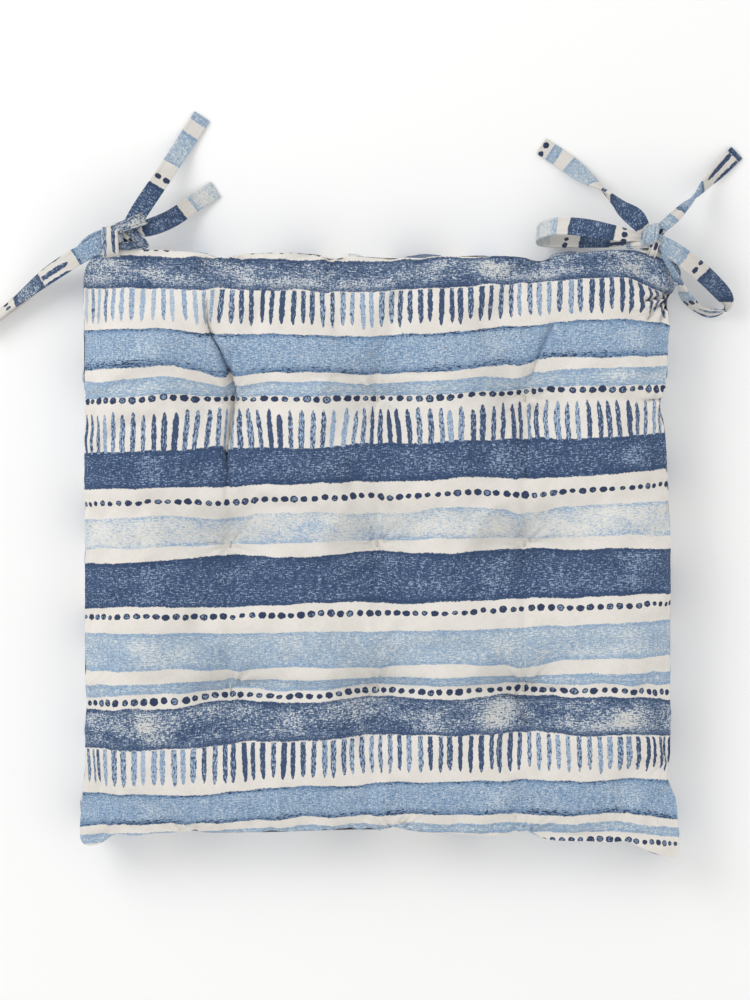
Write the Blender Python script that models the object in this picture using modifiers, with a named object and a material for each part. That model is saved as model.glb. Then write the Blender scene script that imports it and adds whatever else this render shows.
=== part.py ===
"""Square tufted seat pad with tied tapes at its two rear corners.

Metres, +Z up, +Y to the rear of the seat. The origin is the middle of the pad's underside.
The cover is two quilted panels and a boxing strip in four lengths, around one block of filling.
Nine loops of thread pull the panels together, and each rear corner has a pair of knotted tapes.
"""

import math

import bmesh
import bpy
from mathutils import Vector

# Driving dimensions
WIDTH = 0.396
DEPTH = 0.392
BOXING_TOP = 0.040
CORNER_RADIUS = 0.024
CLOTH = 0.0010
GAP = 0.0003
FILLING_CLEARANCE = 0.0010
CROWN = 0.012

# Tufts, three by three at the quarter points
TUFTS_A_SIDE = 3
TUFT_PITCH_X = WIDTH / 4
TUFT_PITCH_Y = DEPTH / 4
TUFT_REACH = 0.034
TUFT_DEPTH_TOP = 0.013
TUFT_DEPTH_BOTTOM = 0.0045
THREAD_RADIUS = 0.0006
STITCH_HALF = 0.003
STITCH_RISE_TOP = 0.0024
STITCH_DROP_BOTTOM = 0.0016
NEEDLE_HOLE_RADIUS = 0.0011

# Tapes
TAPE_WIDTH = 0.0125
TAPE_THICKNESS = 0.0016
TAPE_STEP = 0.0065
KNOT_SIZE = (0.020, 0.013, 0.010)
LEFT_KNOT = Vector((-0.169, 0.2075, 0.0385))
RIGHT_KNOT = Vector((0.183, 0.2075, 0.0385))
ROOT_END = 0.0022
ROOT_TAPER = 0.8

GRID_CELLS = 20
CORNER_STEPS = 4
HALF_X = WIDTH / 2
HALF_Y = DEPTH / 2
PANEL_EDGE = BOXING_TOP + GAP + CLOTH

for stray in list(bpy.data.objects):
    bpy.data.objects.remove(stray, do_unlink=True)

scene = bpy.context.scene
pad_collection = bpy.data.collections.new("seat_pad")
cutter_collection = bpy.data.collections.new("cutters")
scene.collection.children.link(pad_collection)
scene.collection.children.link(cutter_collection)


def material(name, colour, roughness):
    made = bpy.data.materials.new(name)
    made.use_nodes = True
    made.diffuse_color = (*colour, 1.0)
    shader = made.node_tree.nodes["Principled BSDF"]
    shader.inputs["Base Color"].default_value = (*colour, 1.0)
    shader.inputs["Roughness"].default_value = roughness
    shader.inputs["Metallic"].default_value = 0.0
    return made


print_cotton = material("print_cotton", (0.36, 0.47, 0.62), 0.9)
underside_cotton = material("underside_cotton", (0.42, 0.52, 0.64), 0.9)
boxing_cotton = material("boxing_cotton", (0.16, 0.23, 0.38), 0.9)
tape_cotton = material("tape_cotton", (0.30, 0.42, 0.60), 0.9)
polyester_filling = material("polyester_filling", (0.85, 0.85, 0.83), 0.95)
tufting_thread = material("tufting_thread", (0.76, 0.74, 0.69), 0.7)


def place(obj, surface, collection=pad_collection):
    obj.data.materials.append(surface)
    collection.objects.link(obj)
    return obj


def mesh_object(name, bm):
    mesh = bpy.data.meshes.new(name)
    bmesh.ops.recalc_face_normals(bm, faces=bm.faces)
    bm.to_mesh(mesh)
    bm.free()
    return bpy.data.objects.new(name, mesh)


def rounded(x, y, half_x, half_y, radius):
    """A point of a rectangle, moved so that the rectangle's corners become round."""
    over_x = abs(x) - (half_x - radius)
    over_y = abs(y) - (half_y - radius)
    if over_x <= 0 or over_y <= 0:
        return x, y
    pull = max(over_x, over_y) / math.hypot(over_x, over_y)
    new_x = half_x - radius + over_x * pull
    new_y = half_y - radius + over_y * pull
    return math.copysign(new_x, x), math.copysign(new_y, y)


def tuft_centres():
    middle = (TUFTS_A_SIDE - 1) / 2
    rows = ("rear", "middle", "front")
    columns = ("left", "centre", "right")
    for row in range(TUFTS_A_SIDE):
        for column in range(TUFTS_A_SIDE):
            x = (column - middle) * TUFT_PITCH_X
            y = (middle - row) * TUFT_PITCH_Y
            yield f"{rows[row]}_{columns[column]}", x, y


def tuft_pull(x, y):
    """How strongly the nearest tuft pulls the cloth in: 1 at its stitch, 0 out of its reach."""
    pull = 0.0
    for _, centre_x, centre_y in tuft_centres():
        near = math.hypot(x - centre_x, y - centre_y) / TUFT_REACH
        pull = max(pull, (1 - near * near) ** 2 if near < 1 else 0.0)
    return pull


def top_height(x, y):
    """The upper face of the top panel."""
    rise = (1 - (abs(x) / HALF_X) ** 5) * (1 - (abs(y) / HALF_Y) ** 5)
    return PANEL_EDGE + CROWN * rise - TUFT_DEPTH_TOP * tuft_pull(x, y)


def bottom_height(x, y):
    """The lower face of the bottom panel, flat between the tufts."""
    return TUFT_DEPTH_BOTTOM * tuft_pull(x, y)


def quilted_grid(height, inset=0.0):
    """An open sheet with round corners, its points at height(x, y) and its rim drawn in by inset."""
    bm = bmesh.new()
    bmesh.ops.create_grid(bm, x_segments=GRID_CELLS, y_segments=GRID_CELLS, size=1.0)
    bmesh.ops.triangulate(bm, faces=bm.faces, quad_method="FIXED")
    for vert in bm.verts:
        x, y = rounded(vert.co.x * HALF_X, vert.co.y * HALF_Y, HALF_X, HALF_Y, CORNER_RADIUS)
        shrink = 1 - inset / HALF_X if vert.is_boundary else 1
        vert.co = (x * shrink, y * shrink, height(x, y))
    return bm


def needle_holes():
    """One cutter: a pair of needle holes at every tuft, through the whole pad."""
    bm = bmesh.new()
    for _, x, y in tuft_centres():
        for side in (-1, 1):
            made = bmesh.ops.create_cone(
                bm,
                cap_ends=True,
                segments=8,
                radius1=NEEDLE_HOLE_RADIUS,
                radius2=NEEDLE_HOLE_RADIUS,
                depth=0.14,
            )
            bmesh.ops.translate(bm, verts=made["verts"], vec=(x, y + side * STITCH_HALF, 0.03))
    cutter = mesh_object("needle_hole_cutter", bm)
    cutter.hide_render = True
    cutter.display_type = "WIRE"
    cutter_collection.objects.link(cutter)
    return cutter


def cut(obj, cutter):
    boolean = obj.modifiers.new("cut", "BOOLEAN")
    boolean.operation = "DIFFERENCE"
    boolean.object = cutter


def panel(name, height, thickness_offset, surface, cutter):
    obj = mesh_object(name, quilted_grid(height))
    if obj.data.polygons[0].normal.z < 0:
        obj.data.flip_normals()
    obj.data.shade_smooth()
    cloth = obj.modifiers.new("cloth", "SOLIDIFY")
    cloth.thickness = CLOTH
    cloth.offset = thickness_offset
    cut(obj, cutter)
    return place(obj, surface)


def filling(cutter):
    """The filling fills the cover to a small gap, so its top is quilted as the top panel is."""
    inset = CLOTH + FILLING_CLEARANCE
    bm = quilted_grid(bottom_height, inset)
    bmesh.ops.translate(bm, verts=bm.verts, vec=(0, 0, inset))
    made = bmesh.ops.extrude_face_region(bm, geom=list(bm.faces))
    for item in made["geom"]:
        if isinstance(item, bmesh.types.BMVert):
            item.co.z = top_height(item.co.x, item.co.y) - inset
    obj = mesh_object("filling", bm)
    cut(obj, cutter)
    return place(obj, polyester_filling)


def rear_right_quarter():
    """The outline of the pad from the middle of its rear edge round to the middle of its right edge."""
    centre = Vector((HALF_X - CORNER_RADIUS, HALF_Y - CORNER_RADIUS))
    yield Vector((0.0, HALF_Y))
    for step in range(2 * CORNER_STEPS + 1):
        angle = math.pi / 2 * (1 - step / (2 * CORNER_STEPS))
        yield centre + CORNER_RADIUS * Vector((math.cos(angle), math.sin(angle)))
    yield Vector((HALF_X, 0.0))


def boxing_outline(side):
    """One length of the boxing, between the middles of two corners, less half a gap at each end."""
    quarter = list(rear_right_quarter())
    if side in ("left", "right"):
        half = [Vector((p.x, p.y)) for p in quarter[CORNER_STEPS + 1 :]]
        half[0] += (half[1] - half[0]).normalized() * GAP
        line = half + [Vector((p.x, -p.y)) for p in reversed(half[:-1])]
        flip = Vector((-1, 1)) if side == "left" else Vector((1, 1))
    else:
        half = [Vector((p.x, p.y)) for p in quarter[: CORNER_STEPS + 2]]
        half[-1] += (half[-2] - half[-1]).normalized() * GAP
        line = [Vector((-p.x, p.y)) for p in reversed(half[1:])] + half
        flip = Vector((1, -1)) if side == "front" else Vector((1, 1))
    return [Vector((p.x * flip.x, p.y * flip.y)) for p in line]


def boxing(side):
    """A wall of cloth between the two panels."""
    low, high = CLOTH + GAP, BOXING_TOP
    bm = bmesh.new()
    verts = [bm.verts.new((p.x, p.y, low)) for p in boxing_outline(side)]
    edges = [bm.edges.new(pair) for pair in zip(verts, verts[1:])]
    made = bmesh.ops.extrude_edge_only(bm, edges=edges)
    raised = [item for item in made["geom"] if isinstance(item, bmesh.types.BMVert)]
    bmesh.ops.translate(bm, verts=raised, vec=(0, 0, high - low))
    obj = mesh_object(f"boxing_{side}", bm)
    longest = max(obj.data.polygons, key=lambda face: face.area)
    outward = Vector((longest.center.x, longest.center.y, 0))
    if longest.normal.dot(outward) < 0:
        obj.data.flip_normals()
    obj.data.shade_smooth()
    cloth = obj.modifiers.new("cloth", "SOLIDIFY")
    cloth.thickness = CLOTH
    cloth.offset = -1
    return place(obj, boxing_cotton)


def tape_slot(x, z, name):
    """A cutter for the slit in the boxing seam that a tape's sewn end passes through."""
    bm = bmesh.new()
    bmesh.ops.create_cube(bm, size=1.0)
    half_high = TAPE_THICKNESS / 2 + GAP
    high = BOXING_TOP + 2 * GAP - (z - half_high)
    size = Vector((TAPE_WIDTH + 2 * GAP + 0.001, 0.02, high))
    for vert in bm.verts:
        vert.co = Vector((vert.co.x * size.x, vert.co.y * size.y, vert.co.z * size.z))
    slot = mesh_object(name, bm)
    slot.location = (x, HALF_Y, z - half_high + high / 2)
    slot.hide_render = True
    slot.display_type = "WIRE"
    cutter_collection.objects.link(slot)
    return slot


def tuft_loop(name, x, y):
    """One loop of thread: up through the pad, over a short stitch, down again and knotted below."""
    top = top_height(x, y) + STITCH_RISE_TOP
    bottom = bottom_height(x, y) - STITCH_DROP_BOTTOM
    turn = 0.0009
    corners = (
        (-STITCH_HALF, bottom + turn),
        (-STITCH_HALF, top - turn),
        (-STITCH_HALF + turn, top),
        (STITCH_HALF - turn, top),
        (STITCH_HALF, top - turn),
        (STITCH_HALF, bottom + turn),
        (STITCH_HALF - turn, bottom),
        (-STITCH_HALF + turn, bottom),
    )
    curve = bpy.data.curves.new(name, "CURVE")
    curve.dimensions = "3D"
    curve.bevel_depth = THREAD_RADIUS
    curve.bevel_resolution = 1
    spline = curve.splines.new("POLY")
    spline.points.add(len(corners) - 1)
    for point, (along, z) in zip(spline.points, corners):
        point.co = (x, y + along, z, 1.0)
    spline.use_cyclic_u = True
    return place(bpy.data.objects.new(name, curve), tufting_thread)


def smooth_route(points, step):
    """Points about step apart on the smooth curve that passes through the given ones."""
    ends = [2 * points[0] - points[1]] + points + [2 * points[-1] - points[-2]]
    found = []
    for a, b, c, d in zip(ends, ends[1:], ends[2:], ends[3:]):
        count = max(1, round((c - b).length / step))
        for i in range(count):
            t = i / count
            found.append(
                0.5
                * (
                    2 * b
                    + (c - a) * t
                    + (2 * a - 5 * b + 4 * c - d) * t**2
                    + (3 * b - a - 3 * c + d) * t**3
                )
            )
    return found + [points[-1]]


def tape_profile():
    """The tape's cross-section: flat, with thin folded edges."""
    half, thick = TAPE_WIDTH / 2, TAPE_THICKNESS / 2
    outline = (
        (half, 0),
        (half - thick, thick),
        (thick - half, thick),
        (-half, 0),
        (thick - half, -thick),
        (half - thick, -thick),
    )
    curve = bpy.data.curves.new("tape_profile", "CURVE")
    curve.dimensions = "2D"
    spline = curve.splines.new("POLY")
    spline.points.add(len(outline) - 1)
    for point, (x, y) in zip(spline.points, reversed(outline)):
        point.co = (x, y, 0.0, 1.0)
    spline.use_cyclic_u = True
    profile = bpy.data.objects.new("tape_profile", curve)
    profile.hide_render = True
    cutter_collection.objects.link(profile)
    return profile


def tape(name, route, profile, gathered_start=1.0, gathered_end=1.0):
    """A tape along a route in millimetres, gathered to a share of its width at an end in a knot."""
    points = smooth_route([Vector(p) / 1000 for p in route], TAPE_STEP)
    curve = bpy.data.curves.new(name, "CURVE")
    curve.dimensions = "3D"
    curve.twist_mode = "Z_UP"
    curve.bevel_mode = "OBJECT"
    curve.bevel_object = profile
    curve.use_fill_caps = True
    spline = curve.splines.new("POLY")
    spline.points.add(len(points) - 1)
    gather_length = 0.014
    gone = 0.0
    total = sum((b - a).length for a, b in zip(points, points[1:]))
    for i, (point, place_at) in enumerate(zip(spline.points, points)):
        gone += (place_at - points[i - 1]).length if i else 0.0
        from_start = min(1.0, gone / gather_length)
        from_end = min(1.0, (total - gone) / gather_length)
        point.co = (*place_at, 1.0)
        point.radius = min(
            gathered_start + (1 - gathered_start) * from_start,
            gathered_end + (1 - gathered_end) * from_end,
        )
    return place(bpy.data.objects.new(name, curve), tape_cotton)


def knot(name, centre):
    """The tapes' knot, a rounded lump."""
    bm = bmesh.new()
    bmesh.ops.create_uvsphere(bm, u_segments=12, v_segments=8, radius=0.5)
    for vert in bm.verts:
        vert.co = Vector(a * b for a, b in zip(vert.co, KNOT_SIZE))
    obj = mesh_object(name, bm)
    obj.data.shade_smooth()
    obj.location = centre
    return place(obj, tape_cotton)


holes = needle_holes()
top_panel = panel("top_panel", top_height, -1, print_cotton, holes)
bottom_panel = panel("bottom_panel", bottom_height, 1, underside_cotton, holes)
filling_block = filling(holes)
boxing_strips = {side: boxing(side) for side in ("front", "rear", "left", "right")}
for tuft_name, tuft_x, tuft_y in tuft_centres():
    tuft_loop(f"tuft_thread_{tuft_name}", tuft_x, tuft_y)

tape_section = tape_profile()
for corner, knot_centre in (("left", LEFT_KNOT), ("right", RIGHT_KNOT)):
    knot(f"tie_{corner}_knot", knot_centre)
    slot_cutter = tape_slot(knot_centre.x, knot_centre.z, f"tape_slot_{corner}")
    cut(boxing_strips["rear"], slot_cutter)
    root_x, root_z = 1000 * knot_centre.x, 1000 * knot_centre.z
    inner, outer = 1000 * (HALF_Y - CLOTH), 1000 * (HALF_Y + ROOT_END)
    root = [(root_x, inner, root_z), (root_x, outer, root_z)]
    tape(f"tie_{corner}_root", root, tape_section, 1.0, ROOT_TAPER)

# The tapes' routes, in millimetres, each from the knot outwards
LEFT_LONG_TAIL = [
    (-163, 216, 39),
    (-157, 226, 36),
    (-148, 240, 25),
    (-139, 254, 12),
    (-129, 270, 3),
    (-118, 287, 1.2),
]
LEFT_SHORT_TAIL = [
    (-157, 211, 37),
    (-148, 214, 31),
    (-137, 219, 19),
    (-124, 228, 6),
    (-109, 238, 1.2),
]
LEFT_LOOP = [
    (-180, 204, 38),
    (-190, 201, 36),
    (-206, 194, 26),
    (-224, 180, 12),
    (-245, 163, 4),
    (-268, 144, 2.4),
]
RIGHT_INNER_TAIL = [
    (177, 215, 40),
    (168, 224, 38),
    (154, 236, 24),
    (138, 248, 8),
    (126, 257, 2),
    (111, 267, 1.2),
]
RIGHT_OUTER_TAIL = [
    (189, 215, 40),
    (196, 221, 37),
    (206, 229, 25),
    (219, 240, 9),
    (230, 250, 2),
    (242, 262, 1.2),
]
RIGHT_INNER_LOOP = [
    (172, 209, 42),
    (160, 213, 46),
    (140, 219, 38),
    (121, 220, 26),
    (111, 215, 18),
    (112, 207, 12),
    (124, 203, 11),
    (144, 203, 18),
    (160, 203, 27),
    (171, 205, 34),
]
RIGHT_OUTER_LOOP = [
    (194, 208, 41),
    (204, 203, 41),
    (217, 192, 33),
    (229, 179, 21),
    (237, 165, 12),
    (232, 155, 8),
    (221, 156, 8),
    (212, 166, 14),
    (208, 180, 22),
    (205, 193, 30),
    (194, 203, 35),
]
GATHER = 0.45
for name, route in (
    ("tie_left_long_tail", LEFT_LONG_TAIL),
    ("tie_left_short_tail", LEFT_SHORT_TAIL),
    ("tie_left_loop", LEFT_LOOP),
    ("tie_right_inner_tail", RIGHT_INNER_TAIL),
    ("tie_right_outer_tail", RIGHT_OUTER_TAIL),
):
    tape(name, route, tape_section, GATHER)
for name, route in (
    ("tie_right_inner_loop", RIGHT_INNER_LOOP),
    ("tie_right_outer_loop", RIGHT_OUTER_LOOP),
):
    tape(name, route, tape_section, GATHER, GATHER)
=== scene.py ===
"""The looks of the square tufted seat pad: its padded cover, its printed cotton and its knotted tapes.

Metres, +Z up, +Y to the rear of the seat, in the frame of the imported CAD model.
"""

import math

import bmesh
import bpy
import numpy as np
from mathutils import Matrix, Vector, noise


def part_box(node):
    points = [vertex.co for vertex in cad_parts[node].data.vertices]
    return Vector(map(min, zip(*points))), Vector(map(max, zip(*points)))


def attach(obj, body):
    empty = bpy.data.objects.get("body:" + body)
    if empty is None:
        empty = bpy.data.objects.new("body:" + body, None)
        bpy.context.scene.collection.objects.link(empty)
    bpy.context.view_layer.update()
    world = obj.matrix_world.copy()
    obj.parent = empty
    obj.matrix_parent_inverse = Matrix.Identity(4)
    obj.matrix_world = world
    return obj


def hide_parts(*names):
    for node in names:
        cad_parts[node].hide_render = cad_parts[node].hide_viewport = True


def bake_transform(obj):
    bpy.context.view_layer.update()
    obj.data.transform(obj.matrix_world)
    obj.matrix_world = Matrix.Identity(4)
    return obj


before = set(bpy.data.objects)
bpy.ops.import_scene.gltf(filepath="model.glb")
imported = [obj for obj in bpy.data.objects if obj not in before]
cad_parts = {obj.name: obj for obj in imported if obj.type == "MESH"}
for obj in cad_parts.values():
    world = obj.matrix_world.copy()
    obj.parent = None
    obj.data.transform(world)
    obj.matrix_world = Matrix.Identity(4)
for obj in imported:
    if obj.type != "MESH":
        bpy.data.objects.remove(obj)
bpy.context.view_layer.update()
scene = bpy.context.scene


def add(name, data):
    """A new object in the scene."""
    made = bpy.data.objects.new(name, data)
    scene.collection.objects.link(made)
    return made


HALF_X, HALF_Y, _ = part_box("top_panel")[1]
SEAM_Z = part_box("boxing_rear")[1].z

# Camera and light
CAMERA_TARGET = Vector((-0.0013, 0.0302, 0.040))
CAMERA_DISTANCE = 2.982
CAMERA_TILT = math.radians(4.5)
LENS = 160
SENSOR = 36
SKY_COLOUR = (1.0, 0.995, 0.985, 1.0)
SKY_STRENGTH = 0.80
# Area lights: name, place, size and power
LIGHTS = (("key", (-1.3, 1.1, 1.5), 1.2, 17.0), ("fill", (1.6, -0.8, 1.8), 2.2, 5.0))
FLOOR_SIZE = 6.0
PAPER = (0.95, 0.95, 0.95, 1.0)

# Cover
CELLS = 76
BOXING_ROWS = 7
BOXING_WAIST = 0.0012
BOXING_FOLD = 0.0034
BOXING_DRAWN_IN = 0.45
SEAM_RISE = 0.0024
START_RISE = 0.007
UNDERSIDE_INSET = 0.006
UNDERSIDE_Z = 0.0006
UNDERSIDE_DENT = 0.0045
UNDERSIDE_DENT_REACH = 0.034
TUFT_PITCH_X = HALF_X / 2
TUFT_PITCH_Y = HALF_Y / 2
TUFT_Z = 0.0325
TUFT_HALF_X = 0.0035
TUFT_HALF_Y = 0.0045
TUFT_REACH = 0.036
NOTCH_WIDTH = 0.0075
NOTCH_REACH = 0.020
CLOTH_SETTINGS = (
    ("quality", 5),
    ("mass", 0.15),
    ("tension_stiffness", 25),
    ("compression_stiffness", 25),
    ("shear_stiffness", 8),
    ("bending_stiffness", 0.4),
    ("air_damping", 2),
    ("vertex_group_mass", "held"),
    ("use_pressure", True),
    ("uniform_pressure_force", 4),
    ("shrink_min", -0.035),
)
CLOTH_FRAMES = 20
CLOTH_CAP = 0.014
STITCH_LENGTH = 0.005
STITCH_RADIUS = 0.0006
STITCH_LOW = 0.0046

# The seams' outline in plan, from one corner to the next: (along the side, where the edge is)
LEFT_EDGE = ((-0.205, -0.200), (-0.185, -0.201), (-0.140, -0.1965), (0.000, -0.196), (0.200, -0.196))
RIGHT_EDGE = (
    (-0.205, 0.2070), (-0.190, 0.2045), (-0.170, 0.2030), (-0.156, 0.2020), (-0.146, 0.1980),
    (-0.138, 0.1965), (-0.128, 0.1985), (-0.060, 0.1972), (0.020, 0.1970), (0.100, 0.1920),
    (0.156, 0.1965), (0.175, 0.2030), (0.185, 0.2060), (0.200, 0.2060),
)
REAR_EDGE = (
    (-0.200, 0.197), (-0.150, 0.198), (-0.105, 0.195), (-0.060, 0.196), (0.010, 0.192),
    (0.060, 0.194), (0.100, 0.193), (0.150, 0.198), (0.200, 0.197),
)
FRONT_EDGE = (
    (-0.195, -0.2045), (-0.184, -0.2035), (-0.175, -0.1950), (-0.163, -0.1975), (-0.150, -0.1952),
    (-0.080, -0.1945), (-0.030, -0.1930), (0.010, -0.1932), (0.034, -0.1948), (0.072, -0.1972),
    (0.089, -0.1957), (0.097, -0.1945), (0.106, -0.1995), (0.116, -0.2002), (0.157, -0.2020),
    (0.162, -0.2015), (0.168, -0.2045), (0.181, -0.2092), (0.198, -0.2145),
)

# Places where a seam is drawn in: (side, along the side, how deep)
SEAM_NOTCHES = (
    ("rear", -0.1067, 0.0035), ("rear", -0.0335, 0.0030), ("rear", 0.1027, 0.0035),
    ("front", -0.1255, 0.0020), ("front", 0.0094, 0.0025), ("front", 0.0973, 0.0025),
    ("front", 0.1620, 0.0012), ("right", 0.1660, 0.0060), ("right", -0.1400, 0.0018),
    ("right", 0.0973, 0.0030), ("left", 0.1000, 0.0012), ("left", -0.1000, 0.0012),
)


def linear(red, green, blue):
    """A colour on the 0 to 255 sRGB scale as Blender's linear one."""
    channels = (c / 255 for c in (red, green, blue))
    return tuple(c / 12.92 if c <= 0.04045 else ((c + 0.055) / 1.055) ** 2.4 for c in channels) + (1.0,)


CREAM = linear(227, 223, 217)
CREAM_SHADED = linear(221, 217, 210)
DOT_INK = linear(47, 59, 88)
TICK_INK = linear(60, 78, 110)
TICK_PALE = linear(140, 164, 193)
TICK_FAINT = linear(190, 200, 210)
TAN = linear(203, 198, 184)
THREAD = linear(214, 208, 198)
THREAD_SHADED = linear(196, 190, 180)

# Each ink's darkest, middle and lightest tone on the cloth
NAVY = (linear(48, 68, 100), linear(65, 86, 119), linear(150, 168, 193))
BLUE = (linear(104, 134, 168), linear(147, 170, 195), linear(204, 215, 224))
SKY = (linear(134, 159, 188), linear(168, 186, 202), linear(216, 219, 219))
MIST = (linear(150, 174, 200), linear(203, 208, 210), linear(224, 222, 216))
WORN_NAVY = (linear(52, 70, 102), linear(98, 118, 146), linear(212, 216, 218))


# ---- shader nodes


def math_node(operation):
    """A method that adds one Math node."""
    return lambda self, *others: self.op(operation, *others)


class Value:
    """A number in a node tree. Arithmetic on it adds Math nodes."""

    def __init__(self, tree, socket):
        self.tree = tree
        self.socket = socket

    def op(self, operation, *others):
        node = self.tree.nodes.new("ShaderNodeMath")
        node.operation = operation
        for entry, given in zip(node.inputs, (self, *others)):
            connect(self.tree, given, entry)
        return Value(self.tree, node.outputs[0])

    __add__ = math_node("ADD")
    __sub__ = math_node("SUBTRACT")
    __mul__ = math_node("MULTIPLY")
    __truediv__ = math_node("DIVIDE")
    __abs__ = math_node("ABSOLUTE")
    power = math_node("POWER")
    sine = math_node("SINE")
    floor = math_node("FLOOR")
    least = math_node("MINIMUM")
    most = math_node("MAXIMUM")

    def __neg__(self):
        return self * -1.0

    def step(self, low, high):
        """0 below low, 1 above high and smooth between them."""
        node = self.tree.nodes.new("ShaderNodeMapRange")
        node.interpolation_type = "SMOOTHSTEP"
        for name, given in (("Value", self), ("From Min", low), ("From Max", high)):
            connect(self.tree, given, node.inputs[name])
        return Value(self.tree, node.outputs["Result"])

    def fades(self, low, high):
        """1 below low, 0 above high and smooth between them."""
        return -self.step(low, high) + 1.0


def connect(tree, given, entry):
    if isinstance(given, Value):
        tree.links.new(given.socket, entry)
    else:
        entry.default_value = given


def numbers(tree, socket, count=2):
    """The first numbers of a vector."""
    node = tree.nodes.new("ShaderNodeSeparateXYZ")
    tree.links.new(socket, node.inputs[0])
    return [Value(tree, node.outputs[i]) for i in range(count)]


def vector(tree, x, y, z=0.0):
    node = tree.nodes.new("ShaderNodeCombineXYZ")
    for entry, given in zip(node.inputs, (x, y, z)):
        connect(tree, given, entry)
    return node.outputs[0]


def cloud(tree, x, y, seed, detail, roughness=0.55):
    """Soft noise, about 0.25 to 0.75. x and y are already scaled, one unit to a blob."""
    node = tree.nodes.new("ShaderNodeTexNoise")
    node.inputs["Scale"].default_value = 1.0
    node.inputs["Detail"].default_value = detail
    node.inputs["Roughness"].default_value = roughness
    tree.links.new(vector(tree, x, y, seed), node.inputs["Vector"])
    return Value(tree, node.outputs[0])


def dice(tree, cell, seed):
    """A random number from 0 to 1 for each whole cell."""
    node = tree.nodes.new("ShaderNodeTexWhiteNoise")
    node.noise_dimensions = "2D"
    tree.links.new(vector(tree, cell, seed), node.inputs["Vector"])
    return Value(tree, node.outputs["Value"])


def pick(place, starts, values):
    """The first of the values, or a later one from its start on."""
    found = values[0]
    for start, before, value in zip(starts, values, values[1:]):
        found = place.op("GREATER_THAN", start) * (value - before) + found
    return found


def new_material(name):
    made = bpy.data.materials.new(name)
    made.use_nodes = True
    return made, made.node_tree, made.node_tree.nodes["Principled BSDF"]


def mix(tree, factor, a, b):
    node = tree.nodes.new("ShaderNodeMix")
    node.data_type = "RGBA"
    connect(tree, factor, node.inputs[0])
    for entry, colour in ((node.inputs[6], a), (node.inputs[7], b)):
        if isinstance(colour, tuple):
            entry.default_value = colour
        else:
            tree.links.new(colour, entry)
    return node.outputs[2]


# ---- the print

# The painted bands, in metres from the pad's middle towards its rear, by ink: its tones, its bands'
# (front, rear), how pale it is, how blotchy, and how many dark flecks line its bands' edges
INKS = (
    (NAVY, ((-0.0381, -0.0060), (0.0434, 0.0668)), 0.02, 0.7, 0.0),
    (BLUE, ((-0.1822, -0.1590), (0.1160, 0.1405)), 0.05, 0.6, 1.0),
    (SKY, ((-0.1955, -0.1885), (-0.0958, -0.0890), (-0.0805, -0.0563), (0.1000, 0.1096)), 0.06, 0.9, 0.0),
    (MIST, ((0.0029, 0.0235),), 0.12, 1.5, 0.0),
    (WORN_NAVY, ((-0.1290, -0.1040), (0.1687, 0.1905)), 0.08, 1.5, 0.5),
)
BAND_EDGE = 0.0003

# Across the cloth, the middles of its rubbed places
RUBBED = (-0.152, 0.080, 0.170)

# Rows of dots
DOT_ROWS = (-0.2010, -0.1000, -0.0447, 0.0337, 0.0980, 0.1960)
DOT_PITCH = 0.0064

# Rows of ticks: the band's edge that they grow from, their tips' line, and across the cloth
# a place where they are darkest, how far it is to the next, and how much they fade to the left
TICK_ROWS = (
    (-0.1293, -0.1550, -0.078, 0.140, 0.2),
    (0.0660, 0.0925, -0.140, 0.075, 0.0),
    (0.1684, 0.1438, -0.070, 0.120, 0.6),
)
TICK_ROW_STARTS = (-0.05, 0.12)
TICK_PITCH = 0.0066
WEAVE_PITCH = 0.00085
THREAD_HEIGHT = 0.00022


def grains(tree, u, v):
    """Speckle about 0.5: flecks of a millimetre, and dashes along and across the cloth's threads."""
    fleck = cloud(tree, u * 900, v * 1100, 3.0, 1.0, 0.6)
    dash = cloud(tree, u * 320, v * 1150, 4.0, 1.0, 0.6)
    fall = cloud(tree, u * 1300, v * 420, 4.5, 1.0, 0.6)
    return (fleck - 0.5) * 1.2 + (dash - 0.5) * 1.5 + (fall - 0.5) * 0.7 + 0.5, dash


def painted_bands(tree, u, v, wavy, grain, dash):
    """The bands on the cream cloth, dry-brushed and rubbed pale in places. wavy is v with its waves."""
    blot = cloud(tree, u * 30, v * 62, 5.0, 3.0, 0.6)
    rubbed = None
    for middle in RUBBED:
        here = abs(u + (blot - 0.5) * 0.03 - middle).fades(0.001, 0.014)
        rubbed = rubbed.most(here) if rubbed else here

    colour = mix(tree, cloud(tree, u * 60, v * 60, 6.0, 3.0).step(0.3, 0.7), CREAM, CREAM_SHADED)
    for (dark, middle, light), bands, pale, blotchy, settled in INKS:
        inside = depth = front = None
        for low, high in bands:
            here = wavy.step(low - BAND_EDGE, low + BAND_EDGE) - wavy.step(high - BAND_EDGE, high + BAND_EDGE)
            deep = (wavy - low).least(-wavy + high)
            edge = abs(wavy - low).least(abs(wavy - high) * 2.2)
            inside = inside + here if inside else here
            depth = depth.most(deep) if depth else deep
            front = front.least(edge) if front else edge
        rim = depth.fades(0.0003, 0.0042)
        wear = rubbed * depth.step(0.0015, 0.009)
        level = grain + (blot - 0.5) * blotchy - rim * 0.22 + wear * (0.09 + 0.06 * blotchy) + pale
        tone = mix(tree, level.step(0.15, 0.60), dark, middle)
        tone = mix(tree, level.step(0.56, 0.96), tone, light)
        if settled:
            flecks = dash + front.fades(0.0010, 0.0070) * 0.18 + (blot - 0.5) * 0.5
            tone = mix(tree, flecks.step(0.62, 0.78) * settled, tone, NAVY[0])
        if dark == WORN_NAVY[0]:
            tone = mix(tree, wear * (blot + grain * 0.3).step(0.55, 0.80) * 0.4, tone, TAN)
        colour = mix(tree, inside, colour, tone)
    return colour


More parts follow.
